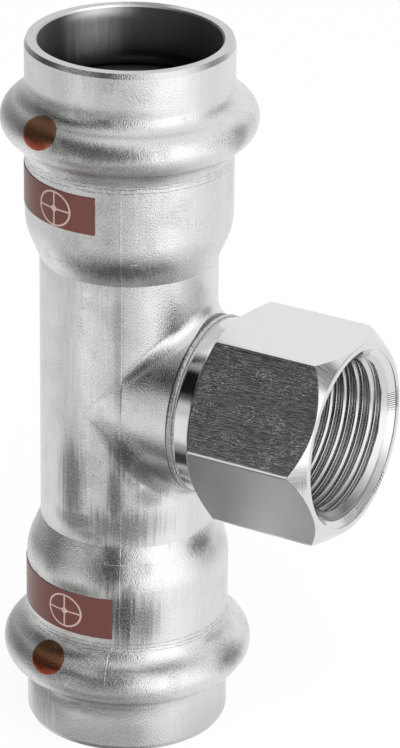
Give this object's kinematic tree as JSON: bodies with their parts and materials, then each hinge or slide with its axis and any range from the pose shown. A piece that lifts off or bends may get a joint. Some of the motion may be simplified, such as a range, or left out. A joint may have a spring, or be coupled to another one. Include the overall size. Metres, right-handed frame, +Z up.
{
  "type": "press tee fitting",
  "caption": "Drawn steel press tee: a straight run with a beaded press socket at each mouth and, on a collar at its middle, a hexagonal connector with a female pipe thread.",
  "frame": {"origin": "centre of the lower mouth, on the run axis", "axes": "+Z up the run towards the upper mouth, +X along the branch towards its open end, +Y completes a right-handed frame"},
  "size_m": [0.0474, 0.0314, 0.091],
  "materials": {
    "drawn_steel": "satin drawn stainless steel with brushed rings at the beads",
    "turned_steel": "turned and milled stainless steel, bright edges",
    "weld_steel": "matt grey weld metal",
    "seal_rubber": "smooth black sealing rubber",
    "field_paint": "thin red-brown printed field",
    "dot_paint": "thin translucent brown varnish dot"
  },
  "bodies": {
    "root": {"tee_body": "drawn_steel", "threaded_connector": "turned_steel", "branch_weld": "weld_steel", "upper_seal": "seal_rubber", "lower_seal": "seal_rubber", "upper_mark_field": "field_paint", "lower_mark_field": "field_paint", "upper_paint_dot": "dot_paint", "lower_paint_dot": "dot_paint"}
  },
  "joints": []
}
